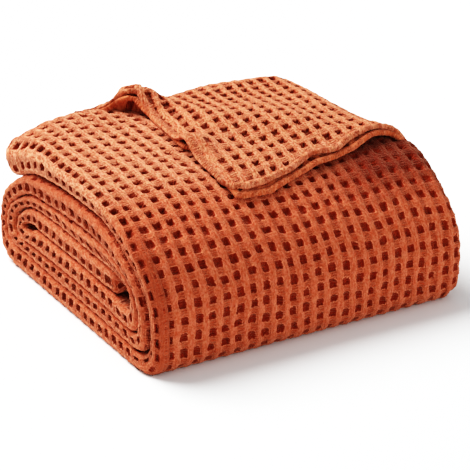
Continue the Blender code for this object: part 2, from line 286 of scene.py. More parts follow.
# how far the rows have slid on the cloth, across and along, in cells
drift = {
    "row": (-1.0, 0.5, 2.0, 4.0, 6.0, 8.0, 10.0, 12.0, 14.0, 16.0, 18.0, 20.0),
    "across": (-0.30, -0.20, 0.05, 0.02, -0.04, -0.08, -0.17, 0.02, 0.19, 0.09, 0.02, -0.08),
    "along": (0.80, 0.60, 0.40, 0.42, 0.20, 0.04, 0.10, 0.04, 0.0, 0.10, 0.20, 0.20),
}


uneven = {"place": 0.045, "size": 0.13, "depth": 0.15}   # how far one pit differs from the next
pitShape = {"power": 5.0, "even": 0.35, "from": 0.78, "run": 0.38}


def waffle(p, q, look):
    # height below the rib tops in cells, and how much a point is pit
    if look["slides"]:
        slidAcross = np.interp(q, drift["row"], drift["across"])
        slidAlong = np.interp(q, drift["row"], drift["along"])
        p = p - slidAcross
        q = q - slidAlong
    p = p + look["wander"] * (np.sin(0.9 * q + 0.5 * p) + 0.6 * np.sin(2.1 * q - 1.3 * p + 1.0))
    q = q + look["wander"] * (np.sin(1.1 * p + 0.4 * q + 2.0) + 0.6 * np.sin(1.7 * p + 2.3 * q))
    i, j = np.floor(p + 0.5).astype(int), np.floor(q + 0.5).astype(int)
    pick = dice[:, i % diceSide, j % diceSide]
    u = p - i - uneven["place"] * pick[0]
    v = q - j - uneven["place"] * pick[1]
    wide = look["wide"] * (1 + uneven["size"] * pick[2])
    tall = look["tall"] * (1 + uneven["size"] * pick[3])
    a, b = np.abs(u) / wide, np.abs(v) / tall
    r = (a ** pitShape["power"] + b ** pitShape["power"]) ** (1 / pitShape["power"])
    # pits have drawn-in sides and pointed corners
    diagonal = (2 * a * b / (a * a + b * b + 1e-6)) ** 2
    r = r * (1 + look["drawn"] * (pitShape["even"] - diagonal))
    pit = 1 - smoothStep((r - pitShape["from"]) / pitShape["run"])
    ribTop = 0.5 - 0.5 * np.cos(2 * math.pi * (p - i))
    rowTop = 0.5 - 0.5 * np.cos(2 * math.pi * (q - j))
    low = look["bridge"] * (1 - ribTop) + look["ripple"] * (1 - rowTop) * ribTop
    depth = look["depth"] * (1 + uneven["depth"] * pick[4])
    return -(low * (1 - pit) + depth * pit), pit


def gridCross(points):
    return np.cross(np.gradient(points, axis=0), np.gradient(points, axis=1))


def gridNormals(points, away):
    # unit normals, turned to the side that away points to
    normal = gridCross(points)
    size = np.linalg.norm(normal, axis=-1, keepdims=True)
    normal = np.where(size > 1e-9, normal / np.maximum(size, 1e-12), 0.0)
    if (normal * away).sum() < 0:
        normal = -normal
    return normal


def patch(points, away, p, q, look, fade=1.0, weave=True, proud=cloth["proud"]):
    # a grid of points, pressed in along its normals by the waffle
    points = settle(points)
    normal = gridNormals(points, away)
    height, pit = waffle(p, q, look)
    height, pit = height * fade, pit * np.broadcast_to(fade, pit.shape)
    if weave:
        fuzz = cloth["fuzz"] * dust.normal(size=height.shape)
        points = points + normal * (height + proud + fuzz)[..., None]
        points[..., 2] = np.maximum(points[..., 2], cloth["floorGap"])
    outward = (gridNormals(points, away) * gridCross(points)).sum() > 0
    return {"points": points, "weave": np.stack([p, q, pit], -1), "flip": not outward}


def addObject(name, data):
    made = bpy.data.objects.new(name, data)
    bpy.context.scene.collection.objects.link(made)
    return made


def setInputs(node, values):
    for name, value in values.items():
        node.inputs[name].default_value = value


def buildPiece(name, patches, material):
    places, weaves, faces, start = [], [], [], 0
    for one in patches:
        n, m = one["points"].shape[:2]
        index = start + np.arange(n * m).reshape(n, m)
        quad = np.stack([index[:-1, :-1], index[1:, :-1], index[1:, 1:], index[:-1, 1:]], -1)
        quad = quad.reshape(-1, 4)
        faces.append(quad[:, ::-1] if one["flip"] else quad)
        places.append(one["points"].reshape(-1, 3))
        weaves.append(one["weave"].reshape(-1, 3))
        start += n * m
    place = np.concatenate(places)
    place = (place - np.array([*cloth["middle"], 0.0])) * cloth["cell"]
    face = np.concatenate(faces).astype(np.int32)
    mesh = bpy.data.meshes.new(name)
    mesh.vertices.add(len(place))
    mesh.vertices.foreach_set("co", place.astype(np.float32).ravel())
    mesh.loops.add(face.size)
    mesh.loops.foreach_set("vertex_index", face.ravel())
    mesh.polygons.add(len(face))
    mesh.polygons.foreach_set("loop_start", np.arange(0, face.size, 4, dtype=np.int32))
    mesh.polygons.foreach_set("use_smooth", np.ones(len(face), bool))
    weave = mesh.attributes.new("weave", "FLOAT_VECTOR", "POINT")
    weave.data.foreach_set("vector", np.concatenate(weaves).astype(np.float32).ravel())
    mesh.update()
    mesh.validate()
    mesh.materials.append(material)
    print("  %s: %d triangles" % (name, 2 * len(face)))
    return addObject(name, mesh)


# samples around the strip: base, place, reach sideways, share of the half thickness, p
def edgeShape(start, end, steps, square, fine=241):
    # square is 1 for an ellipse and less for a flatter edge; travel runs from 0 to 2
    a = np.linspace(0, math.pi, fine)
    reach = np.abs(np.sin(a)) ** square
    share = np.sign(np.cos(a)) * np.abs(np.cos(a)) ** square
    length = np.concatenate([[0], np.cumsum(np.hypot(cloth["edgeRound"] * np.diff(reach),
                                                     cloth["edgeHalf"] * np.diff(share)))])
    travel = 2 * length / length[-1]
    at = np.linspace(start, end, steps)
    return at, np.interp(at, travel, reach), np.interp(at, travel, share)


def leftArc(start, end, steps, square):
    # 0 is at the outer face and 2 at the inner face
    at, reach, share = edgeShape(start, end, steps, square)
    return [("left", 0.0, -r, s, cloth["leftP"] - cloth["edgeCells"] * t)
            for t, r, s in zip(at, reach, share)]


def rightArc(start, end, steps, square):
    at, reach, share = edgeShape(start, end, steps, square)
    return [("right", 0.0, r, s, cloth["rightP"] + cloth["edgeCells"] * t)
            for t, r, s in zip(at, reach, share)]


def outerFace(values, depth=1.0):
    return [("across", x, 0.0, depth, x) for x in values]


def innerFace(values, depth=-1.0):
    # the weave runs on round the left edge, so p falls as x grows
    turned = 2 * cloth["leftP"] - 2 * cloth["edgeCells"]
    return [("across", x, 0.0, depth, turned - x) for x in values]


def stripGrid(at, around, cap=None):
    # a cap closes an end: every row shrinks to the middle line while it moves on by its reach
    rows = stripStations(at)
    left = rows["left"] + cloth["edgeRound"]
    right = rows["right"] - cloth["edgeRound"]
    centre = 0.5 * (rows["outer"] + rows["inner"])
    half = 0.5 * (rows["outer"] - rows["inner"])
    angle = np.zeros(len(at)) if cap is None else cap["angles"]
    if cap is not None:
        centre[:, 0] += cap["reach"] * np.sin(angle)
        half = half * np.cos(angle)[:, None]
    points = np.zeros((len(at), len(around), 3))
    for k, (base, x, reach, share, p) in enumerate(around):
        place = {"left": left, "right": right, "across": np.full(len(at), x)}[base]
        points[:, k, 0] = place + cloth["edgeRound"] * reach * np.cos(angle)
        points[:, k, 1:] = centre + half * share
    p = np.array([one[4] for one in around])
    q = atRow(at)
    if cap is not None:
        q = q - math.copysign(cap["cells"], cap["reach"]) * angle / (math.pi / 2)
    middle = np.concatenate([np.full((len(at), 1), cloth["middleX"]), centre], 1)
    if cap is not None:
        middle[:, 1] -= 2 * cap["reach"] * np.sin(angle)
    away = points - middle[:, None, :]
    away[..., 0] *= np.array([1.0 if one[0] != "across" else 0.0 for one in around])
    return points, away, np.broadcast_to(p, points.shape[:2]), \
        np.broadcast_to(q[:, None], points.shape[:2])


frontLook = {"wide": 0.23, "tall": 0.235, "depth": 0.32, "bridge": 0.15, "ripple": 0.04,
             "wander": 0.08, "drawn": 0.10, "slides": True}
topLook = {"wide": 0.215, "tall": 0.185, "depth": 0.36, "bridge": 0.05, "ripple": 0.02,
           "wander": 0.035, "drawn": 0.27, "slides": True}
edgeLook = {"wide": 0.22, "tall": 0.27, "depth": 0.32, "bridge": 0.06, "ripple": 0.05,
            "wander": 0.05, "drawn": 0.08, "slides": True}


def blendLook(a, b, share):
    mixed = {key: a[key] + (b[key] - a[key]) * share for key in a if key != "slides"}
    return {**mixed, "slides": a["slides"]}


def socket(group, name, kind, value=None, out=False):
    made = group.interface.new_socket(name, in_out="OUTPUT" if out else "INPUT",
                                      socket_type=kind)
    if value is not None:
        made.default_value = value


# the yarns: scales for each cell, ranges as (start, end), and shares
yarnLook = {
    "knots": 5.0, "fine": 7.5, "streaks": (7.0, 2.2), "bend": 0.35,
    "ribFrom": 0.55, "ribSlope": 5.0, "grain": (0.55, 0.45), "high": (2.0, 0.5),
    "ragged": 0.9, "inPit": (0.08, 0.32), "rim": (-0.04, 0.04), "rimShare": 0.5,
    "light": (0.42, 0.58), "tintScale": 2.3, "tint": (0.35, 0.65),
    "frontCalm": 0.25, "seam": 0.5, "paintedBridgeShade": 0.28,
    "outlineFrom": (0.0, 0.10), "outlineTo": (0.50, 0.25), "outline": 0.70, "endOutline": 0.7,
}
# parts of the cloth by weave coordinate: where a mask starts and where it is full
zones = {
    "leftEnd": ("p", -3.3, -3.7),
    "rightEnd": ("p", 20.1, 20.5),
    "front": ("q", 9.5, 14.5),
    "paintedBridgeShade": ("q", 10.5, 13.5),
    "paintedFrontShade": ("q", 8.5, 12.5),
    "bandInner": ("p", -1.85, -2.15),
    "bandOuter": ("p", -3.2, -2.6),
    "cornerRows": ("q", 12.0, 14.0),
    "cornerInner": ("p", -2.1, -2.4),
    "cornerOuter": ("p", -3.0, -2.6),
    "shoulderAcross": ("p", 10.5, 15.5),
    "shoulderFront": ("q", 15.6, 12.6),
    "shoulderRear": ("q", 7.0, 9.5),
    "belowFrom": ("q", 49.0, 52.0),
    "belowTo": ("q", 64.0, 61.0),
    "hollow": ("p", -4.85, -5.45),
}
# painted shade and shadow laid over the yarn, and how strongly
shades = {
    "paintedFrontShade": {"share": 0.48, "tone": (0.42, 0.055, 0.012, 1.0)},
    "corner": {"share": 0.6, "tone": (0.32, 0.048, 0.016, 1.0)},
    "shoulder": {"share": 0.92, "tone": (0.13, 0.010, 0.002, 1.0)},
    "below": {"share": 0.35, "tone": (0.30, 0.045, 0.014, 1.0)},
    "hollow": {"share": 0.85, "tone": (0.085, 0.010, 0.004, 1.0)},
}
# tones of spots, outlines and pits; a pair is the top's and the front's, or two of a mottle
spotTones = {
    "dark": ((0.36, 0.045, 0.012, 1.0), (0.32, 0.065, 0.02, 1.0)),
    "pale": ((0.84, 0.345, 0.225, 1.0), (0.78, 0.36, 0.195, 1.0)),
    "outline": ((0.88, 0.38, 0.24, 1.0), (0.80, 0.26, 0.14, 1.0)),
    # a painted glow of light bounced about in the pits
    "glow": ((0.25, 0.026, 0.003, 1.0), (0.36, 0.042, 0.012, 1.0)),
    # dark yarn gaps, and painted shade in the front's bridges
    "bridge": (0.32, 0.045, 0.014, 1.0),
    # painted shade in the top's pits
    "deep": (0.12, 0.009, 0.0, 1.0),
}


def yarnGroup():
    # fine yarns, mottling and painted shade of a cotton waffle, from the weave coordinates of the
    # mesh
    group = bpy.data.node_groups.new("waffleYarn", "ShaderNodeTree")
    socket(group, "Weave", "NodeSocketVector")
    socket(group, "Rib Color", "NodeSocketColor", (0.7, 0.25, 0.1, 1))
    # the pits' colour is painted shade
    socket(group, "Pit Color", "NodeSocketColor", (0.2, 0.02, 0.004, 1))
    socket(group, "Rim Color", "NodeSocketColor", (0.85, 0.35, 0.2, 1))
    socket(group, "Yarns", "NodeSocketFloat", 8.0)
    socket(group, "Mottle", "NodeSocketFloat", 0.3)
    socket(group, "Color", "NodeSocketColor", out=True)
    socket(group, "Height", "NodeSocketFloat", out=True)
    nodes, links = group.nodes, group.links
    given, made = nodes.new("NodeGroupInput"), nodes.new("NodeGroupOutput")

    def math2(operation, a, b=None, clamp=False):
        node = nodes.new("ShaderNodeMath")
        node.operation = operation
        node.use_clamp = clamp
        for slot, value in enumerate((a, b)):
            if value is None:
                continue
            if isinstance(value, (int, float)):
                node.inputs[slot].default_value = value
            else:
                links.new(value, node.inputs[slot])
        return node.outputs[0]

    def times(value, *others):
        for other in others:
            value = math2("MULTIPLY", value, other)
        return value

    def without(value):
        return math2("SUBTRACT", 1.0, value)

    def mixColor(share, a, b):
        # slots 6 and 7 of a Mix node are its two colours, and output 2 the mixed one
        node = nodes.new("ShaderNodeMix")
        node.data_type = "RGBA"
        links.new(share, node.inputs["Factor"])
        for slot, value in ((6, a), (7, b)):
            if isinstance(value, tuple):
                node.inputs[slot].default_value = value
            else:
                links.new(value, node.inputs[slot])
        return node.outputs[2]

    split = nodes.new("ShaderNodeSeparateXYZ")
    links.new(given.outputs["Weave"], split.inputs[0])
    p, q, pit = split.outputs

    def noise(scale, detail, rough=0.6, stretch=None):
        node = nodes.new("ShaderNodeTexNoise")
        setInputs(node, {"Scale": scale, "Detail": detail, "Roughness": rough})
        flat = nodes.new("ShaderNodeCombineXYZ")
        for slot, value in enumerate((p, q)):
            links.new(value if stretch is None else math2("MULTIPLY", value, stretch[slot]),
                      flat.inputs[slot])
        links.new(flat.outputs[0], node.inputs["Vector"])
        return node.outputs["Fac"]

    def ramped(value, start, end):
        node = nodes.new("ShaderNodeMapRange")
        setInputs(node, {"From Min": start, "From Max": end})
        links.new(value, node.inputs["Value"])
        return node.outputs[0]

    def zone(name):
        axis, start, end = zones[name]
        return ramped({"p": p, "q": q}[axis], start, end)

    def shaded(color, mask, name):
        return mixColor(times(mask, shades[name]["share"]), color, shades[name]["tone"])

    closeUp, wideApart = yarnLook["streaks"]
    knots, fine = noise(yarnLook["knots"], 3.0), noise(yarnLook["fine"], 2.0)
    lengthwise = noise(1.0, 2.0, 0.7, (closeUp, wideApart))
    crosswise = noise(1.0, 2.0, 0.7, (wideApart, closeUp))
    bend = times(math2("SUBTRACT", knots, 0.5), yarnLook["bend"])

    def threads(value):
        lines = math2("MULTIPLY", math2("ADD", value, bend), given.outputs["Yarns"])
        wave = math2("SINE", math2("MULTIPLY", lines, 2 * math.pi))
        return math2("ADD", math2("MULTIPLY", wave, 0.5), 0.5)

    def between(a, b, share):
        return math2("ADD", times(a, share), times(b, without(share)))

    # ribs carry lengthwise yarns, bridges the crosswise ones
    ribMask = math2("ABSOLUTE", math2("SINE", times(p, math.pi)))
    ribMask = math2("SUBTRACT", ribMask, yarnLook["ribFrom"])
    ribMask = math2("MULTIPLY", ribMask, yarnLook["ribSlope"], clamp=True)
    offRib = without(ribMask)
    yarn = between(threads(p), threads(q), ribMask)
    streak = between(lengthwise, crosswise, ribMask)
    streakShare, fineShare = yarnLook["grain"]
    grain = math2("ADD", times(streak, streakShare), times(fine, fineShare))
    grainHigh, bridgeHigh = yarnLook["high"]
    height = math2("ADD", times(grain, grainHigh), times(yarn, offRib, bridgeHigh))
    links.new(height, made.inputs["Height"])

    # pits painted dark as their shade, with an uneven outline and a lighter rim
    ragged = math2("ADD", pit, times(math2("SUBTRACT", knots, 0.5), yarnLook["ragged"]))
    inPit = ramped(ragged, *yarnLook["inPit"])
    rim = times(ramped(ragged, *yarnLook["rim"]), without(inPit))
    base = mixColor(times(rim, yarnLook["rimShare"]), given.outputs["Rib Color"],
                    given.outputs["Rim Color"])
    light = ramped(grain, *yarnLook["light"])
    tint = ramped(noise(yarnLook["tintScale"], 2.0), *yarnLook["tint"])
    dark = mixColor(tint, *spotTones["dark"])
    pale = mixColor(tint, *spotTones["pale"])
    spots = mixColor(light, dark, pale)
    onSide = math2("ADD", zone("leftEnd"), zone("rightEnd"), clamp=True)
    front = times(zone("front"), without(onSide))
    # the front is pulled smooth, so it is less mottled
    smooth = without(times(front, yarnLook["frontCalm"]))
    base = mixColor(times(given.outputs["Mottle"], smooth), base, spots)
    # dark gaps between the yarns of the bridges, and painted shade in the front's bridges, which
    # lie lower where the cloth is pulled lengthwise
    seam = times(without(yarn), times(offRib, yarnLook["seam"]))
    paintedBridgeShade = times(zone("paintedBridgeShade"), times(offRib, yarnLook["paintedBridgeShade"]))
    base = mixColor(math2("ADD", seam, paintedBridgeShade), base, spotTones["bridge"])
    # painted shade on the front, which faces away from the key lamp, darkened to a deeper orange
    base = shaded(base, zone("paintedFrontShade"), "paintedFrontShade")
    # pits have a thin light outline on the front and the ends, but not on the smooth band
    outline = times(ramped(pit, *yarnLook["outlineFrom"]), ramped(pit, *yarnLook["outlineTo"]))
    nearBand = times(zone("bandInner"), zone("bandOuter"))
    outline = times(outline, without(nearBand))
    edged = math2("ADD", front, times(onSide, yarnLook["endOutline"]), clamp=True)
    edgeTone = mixColor(front, *spotTones["outline"])
    base = mixColor(times(outline, edged, yarnLook["outline"]), base, edgeTone)
    # painted shade: the left corner of the front lies in the fold's own shade
    corner = times(zone("cornerRows"), zone("cornerInner"), zone("cornerOuter"))
    base = shaded(base, corner, "corner")
    # painted shadow of the turned-back corner on the right shoulder below it
    shoulder = times(zone("shoulderAcross"), zone("shoulderFront"), zone("shoulderRear"))
    base = shaded(base, shoulder, "shoulder")
    # painted shade: the pass below the top one lies in the shade of the lip
    base = shaded(base, times(zone("belowFrom"), zone("belowTo")), "below")
    # painted shade: the faces turned inwards lie in the hollows of the roll
    base = shaded(base, zone("hollow"), "hollow")
    # painted shade in the pits, darker on the top than on the front, mottled with a painted glow
    # of bounced light
    deep = mixColor(front, spotTones["deep"], given.outputs["Pit Color"])
    glow = mixColor(front, *spotTones["glow"])
    base = mixColor(inPit, base, mixColor(lengthwise, deep, glow))
    links.new(base, made.inputs["Color"])
    return group


cottonSpec = {
    "rib": (0.57, 0.148, 0.078, 1.0),
    # the pits' colour is painted shade
    "pit": (0.16, 0.014, 0.002, 1.0),
    "rim": (0.82, 0.34, 0.22, 1.0),
    "yarns": 6.0,
    "mottle": 0.7,
    "rough": 0.93,
    "specular": 0.2,
    "bump": 0.9,
    "bumpDepth": 0.0016,      # metres
    "sheen": 0.25,
    "sheenRough": 0.5,
    "sheenTint": (1.0, 0.66, 0.46, 1.0),
}


def cottonMaterial(name, spec):
    material = bpy.data.materials.new(name)
    material.use_nodes = True
    nodes, links = material.node_tree.nodes, material.node_tree.links
    shader = nodes["Principled BSDF"]
    weave = nodes.new("ShaderNodeAttribute")
    weave.attribute_name = "weave"
    yarn = nodes.new("ShaderNodeGroup")
    yarn.node_tree = yarnTree
    setInputs(yarn, {"Rib Color": spec["rib"], "Pit Color": spec["pit"], "Rim Color": spec["rim"],
                     "Yarns": spec["yarns"], "Mottle": spec["mottle"]})
    links.new(weave.outputs["Vector"], yarn.inputs["Weave"])
    links.new(yarn.outputs["Color"], shader.inputs["Base Color"])
    relief = nodes.new("ShaderNodeBump")
    setInputs(relief, {"Strength": spec["bump"], "Distance": spec["bumpDepth"]})
    links.new(yarn.outputs["Height"], relief.inputs["Height"])
    links.new(relief.outputs["Normal"], shader.inputs["Normal"])
    setInputs(shader, {"Roughness": spec["rough"], "Specular IOR Level": spec["specular"],
                       "Sheen Weight": spec["sheen"], "Sheen Roughness": spec["sheenRough"],
                       "Sheen Tint": spec["sheenTint"]})
    return material


yarnTree = yarnGroup()
cotton = cottonMaterial("waffleCotton", cottonSpec)
turnedSpec = {**cottonSpec, "rib": (0.38, 0.076, 0.029, 1.0), "rim": (0.78, 0.29, 0.16, 1.0),
              "mottle": 0.60}
# a darker copy of the cotton, painted shade for the lower ply of the corner and the cloth tucked
# in under the arch
shadedUnderSpec = {**cottonSpec, "rib": (0.46, 0.085, 0.025, 1.0), "rim": (0.70, 0.22, 0.10, 1.0),
             "mottle": 0.30}
cottonTurned = cottonMaterial("waffleCottonTurned", turnedSpec)
cottonShadedUnder = cottonMaterial("waffleCottonShadedUnder", shadedUnderSpec)
print("materials ready")

# the hidden cloth: the plies inside each pass and the faces between the passes
inside = {"from": 0.5, "step": 0.5, "depth": 0.13, "face": 0.93, "before": 2.0}
hiddenRows = np.arange(inside["from"], lipAt, inside["step"])
coveredFrom = rawLength[marks["turn4"]] - inside["before"]
pliesAcross = np.linspace(-2.9, 19.5, 23)
facesAcross = np.linspace(-1.6, 18.4, 21)
patches = []
for depth, values, end in ((inside["depth"], pliesAcross, lipAt),
                           (-inside["depth"], pliesAcross, lipAt),
                           (inside["face"], facesAcross, coveredFrom),
                           (-inside["face"], facesAcross, lipAt)):
    points, away, p, q = stripGrid(hiddenRows[hiddenRows < end], outerFace(values, depth))
    patches.append(patch(points, away, p, q, topLook, weave=False))
blanket = buildPiece("blanket_cloth", patches, cotton)

# top and front: the outermost pass with its rounded side edges
skin = {
    "rowLow": 23.6,                        # last row, where the cloth turns under
    "from": -2.36, "to": 19.15,            # the flat part between the side edges
    "start": 0.03,                         # the side edges start just past it
    "square": 0.85, "frontSquare": 0.6,    # round edges on the top, squarer on the front
    # ranges below are where something starts, and how far it runs on to be full
    "front": (12.0, 2.5), "frontWeave": (9.5, 5.0),
    "ladder": {"at": (-2.5, 0.3), "stretch": 0.43, "shift": 1.862},
    "edge": {"left": -2.5, "right": 19.3, "run": 0.8},
    "narrow": (-3.4, 0.3), "narrowShare": 0.3,
    "band": {"right": (-2.42, 0.1), "left": (-3.02, 0.1), "share": 0.85},
    "atFloor": {"least": 0.35, "rest": 0.65, "height": 1.2},
    "calm": {"left": (13.2, 1.6), "right": (18.7, 0.5), "front": (13.6, 1.4), "share": 0.4},
}
qs = cellSamples(atRow(lipAt), skin["rowLow"])[::-1]
grids = []
for square in (skin["square"], skin["frontSquare"]):
    around = leftArc(2.0, skin["start"], 34, square) \
        + outerFace(cellSamples(skin["from"], skin["to"])) \
        + rightArc(skin["start"], 1.7, 16, skin["square"])
    grids.append(stripGrid(rowAt(qs), around))
onFront = rising(grids[0][3], *skin["front"])
points, away = (a + (b - a) * onFront[..., None] for a, b in zip(grids[0][:2], grids[1][:2]))
p, q = (a + (b - a) * onFront for a, b in zip(grids[0][2:], grids[1][2:]))
flatP = p
# the cells are drawn together round the left edge of the front
ladder = skin["ladder"]
p = p + onFront * falling(p, *ladder["at"]) * (ladder["stretch"] * p + ladder["shift"])
look = blendLook(topLook, frontLook, rising(q, *skin["frontWeave"]))
edge = skin["edge"]
onEdge = np.clip((edge["left"] - p) / edge["run"], 0, 1) \
    + np.clip((p - edge["right"]) / edge["run"], 0, 1)
look = blendLook(look, edgeLook, onEdge)
look["wide"] = look["wide"] * (1 - skin["narrowShare"] * falling(p, *skin["narrow"]))
# the front keeps a smooth band at its left corner, and the relief flattens at the floor
band = skin["band"]
onBand = onFront * falling(flatP, *band["right"]) * rising(flatP, *band["left"])
atFloor = skin["atFloor"]
standing = atFloor["least"] + atFloor["rest"] * smoothStep(points[..., 2] / atFloor["height"])
fade = (1 - band["share"] * onBand) * standing
# the shaded shoulder under the turned-back corner has a lower relief
calm = skin["calm"]
onShoulder = rising(p, *calm["left"]) * falling(p, *calm["right"]) * falling(q, *calm["front"])
fade = fade * (1 - calm["share"] * onShoulder)
topFront = buildPiece("blanket_top_front", [patch(points, away, p, q, look, fade)], cotton)

# the rolled inner passes seen at the left and right ends
rolled = {
    "steps": (-0.5, -0.38, -0.28, -0.15, 0.0, 0.15, 0.28, 0.38), "square": 0.5, "start": 0.4,
    "row": {"blanket_left_end": -4.0, "blanket_right_end": 21.0},   # p of the one row of pits
    "beside": (0.85, 0.3), "least": 0.25, "rest": 0.75,
    "capSteps": 9, "capFade": 0.3,
}
endAt, startAt = rowAt(skin["rowLow"]), rolled["start"]
qs = cellSamples(atRow(endAt), atRow(startAt), rolled["steps"])[::-1]
noseCap = {"angles": np.linspace(math.pi / 2, 0.0, rolled["capSteps"]),
           "reach": -innerEnd["nose"], "cells": 0.8}
noseFade = np.linspace(rolled["capFade"], 1.0, rolled["capSteps"])[:, None]
sides = {
    "blanket_left_end": innerFace((-0.6, -1.2, -1.8)) + leftArc(2.0, 0.0, 24, rolled["square"])
    + outerFace((-2.2, -2.0, -1.8, -1.5, -1.2, -0.9, -0.6)),
    "blanket_right_end": outerFace((17.4, 18.0, 18.6)) + rightArc(0.0, 2.0, 16, rolled["square"])
    + innerFace((18.6, 18.0, 17.4)),
}
ends = []
for name, around in sides.items():
    points, away, p, q = stripGrid(rowAt(qs), around)
    # one row of pits along each pass, the cloth runs smooth into the seams
    nearRow = falling(np.abs(p - rolled["row"][name]), *rolled["beside"])
    seamward = rolled["least"] + rolled["rest"] * nearRow
    patches = [patch(points, away, p, q, edgeLook, seamward)]
    capAt = np.full(rolled["capSteps"], startAt)
    points, away, p, q = stripGrid(capAt, around, noseCap)
    patches.append(patch(points, away, p, q, edgeLook, noseFade * seamward[:1]))
    ends.append(buildPiece(name, patches, cotton))

# rear skin, where the outermost turn shows
rearSkin = {"from": -1.0, "to": 18.0, "steps": (-0.5, -0.32, -0.2, 0.0, 0.2, 0.32)}
around = outerFace(cellSamples(rearSkin["from"], rearSkin["to"], rearSkin["steps"]))
qs = cellSamples(atRow(endAt), atRow(coveredFrom), rearSkin["steps"])[::-1]
points, away, p, q = stripGrid(rowAt(qs), around)
rear = buildPiece("blanket_rear", [patch(points, away, p, q, frontLook)], cotton)

# lip: the rear end of the top pass closes in a round nose
lipSkin = {"steps": 26, "cells": 1.75, "plain": (1.45, 0.5), "under": 4.5, "underSteps": 60,
           "acrossSteps": 110}
across = cellSamples(skin["from"], skin["to"])
around = leftArc(2.0, skin["start"], 30, skin["square"]) + outerFace(across) \
    + rightArc(skin["start"], 2.0, 16, skin["square"]) + innerFace(across[::-1])
lipCap = {"angles": np.linspace(0.0, math.pi / 2, lipSkin["steps"]), "reach": lip["reach"],
          "cells": lipSkin["cells"]}
points, away, p, q = stripGrid(np.full(lipSkin["steps"], lipAt), around, lipCap)
# the relief ends before the grid closes in the middle of the nose
lipFade = falling(lipCap["angles"], *lipSkin["plain"])[:, None]
patches = [patch(points, away, p, q, edgeLook, lipFade)]
underAt = np.linspace(lipAt - lipSkin["under"], lipAt, lipSkin["underSteps"])
underAcross = np.linspace(skin["from"], skin["to"], lipSkin["acrossSteps"])
points, away, p, q = stripGrid(underAt, leftArc(2.0, 1.9, 3, skin["square"])[::-1]
                               + innerFace(underAcross))
patches.append(patch(points, away, p, q, topLook))
nose = buildPiece("blanket_lip", patches, cotton)
pieces = [blanket, topFront, *ends, rear, nose]

# turned-back corner: two hemmed plies over the top, joined by a fold at the rear
flap = {
    "ply": 0.30, "plyGap": 0.05, "rest": 0.09,
    "leftY": (-2.4, 0.6, 1.6, 3.0, 4.0, 7.0, 9.5, 11.0, 11.9, 12.4, 12.9, 13.6),
    "leftX": (4.60, 4.50, 4.55, 4.66, 4.80, 5.20, 5.50, 5.20, 4.30, 3.10, 2.10, 1.80),
    "lowerX": (5.05, 4.62, 5.30, 5.50, 4.88, 5.25, 5.45, 4.95, 3.95, 2.75, 1.90, 1.65),
    "tip": {"x": (4.9, 2.4), "y": (10.6, 1.5), "drop": 0.50},
    "frontAt": (0.0, 0.03, 0.09, 0.17, 0.23, 0.32, 0.46, 0.60, 0.69, 0.80, 0.90, 1.0),
    "upper": (-1.1, -2.05, -2.36, -2.27, -2.06, -1.78, -1.0, -1.0, -0.4, -0.05, 0.1, -0.3),
    "lower": (-2.5, -2.68, -2.66, -2.70, -2.38, -2.0, -1.5, -1.15, -0.95, -0.35, -0.1, -0.6),
    "rightX": 20.05, "rearY": 13.35,
    "levelFrom": -2.9,         # in front of this the corner no longer follows the top
    "long": 15.3, "wide": 14.8,   # for the spacing of the samples
    "fineStep": 0.085, "coarseStep": 0.25, "lowerStep": 0.14,
    "slack": 0.22,             # the lower ply follows the arch and the lift less
    # the left hem hangs over the ply below, but not at its lift
    "droop": 0.24, "droopReach": 0.75, "droopKept": 0.9, "droopAt": (3.9, 1.2),
    "overFrom": 18.7, "over": 0.62,   # the right side follows the rounded end
    "arch": {"middle": (5.45, 11.5), "along": (-0.88, 0.47), "long": 1.80, "wide": 1.30,
             "rise": 1.32, "rear": (12.2, 0.9)},
    "lift": (5.3, 3.3, 0.72, 1.25, 1.3), "slackLift": 4,
    "swells": ((11.0, 4.4, -0.08, 4.0, 1.6), (13.5, 13.2, 0.32, 3.6, 1.8)),
    "ridge": {"at": -1.6, "rise": 0.66, "front": 2.2, "rear": 3.4, "left": (5.5, 3.0),
              "right": (17.0, 4.0), "middle": (12.0, 6.0), "slant": (0.52, 0.85)},
    "waves": ((11.9, 0.22, 1.3), (17.3, 0.42, 1.6)),
    "hemReach": 3.0, "rootDepth": 12.2, "rootSink": 0.42,
    "plain": ((5.7, 1.9, 0.8, 1.4), (6.2, -1.3, 1.4, 0.8)),   # gathered cloth without pits
    "plainShare": 0.9,
    # the pits stand open where the corner bends down at the rear
    "open": {"rows": (-4.4, 1.6), "tall": 0.5, "wide": 0.15, "depth": 0.3},
}
# weave of the corner: stretched and a little slanted against the body
flapWeave = {"middle": (12.0, 6.0), "p": (11.48, 0.985, -0.122), "q": (-3.28, 0.105, -0.898)}
flapLook = {"wide": 0.215, "tall": 0.20, "depth": 0.32, "bridge": 0.06, "ripple": 0.03,
            "wander": 0.05, "drawn": 0.28, "slides": False}
hem = {"radius": 0.24, "roll": 0.38, "rollAt": 0.22, "rollWidth": 0.18, "stitch": 0.40,
       "stitchAt": 0.46, "stitchWidth": 0.07, "bead": 0.12, "beads": 1.9, "weave": (0.44, 0.22)}


def bodyTop(y):
    # height of the top pass, rounded down over the front turn
    face = turns[5]["outer"]
    (upY, upZ), tip, midUp = turnEnd(face[1]), face[2], face[4]
    a = np.clip((upY - y) / (upY - tip), 0, 1)
    return np.where(y < upY, midUp + (upZ - midUp) * np.sqrt(1 - a * a), seamHeight("crest", y))


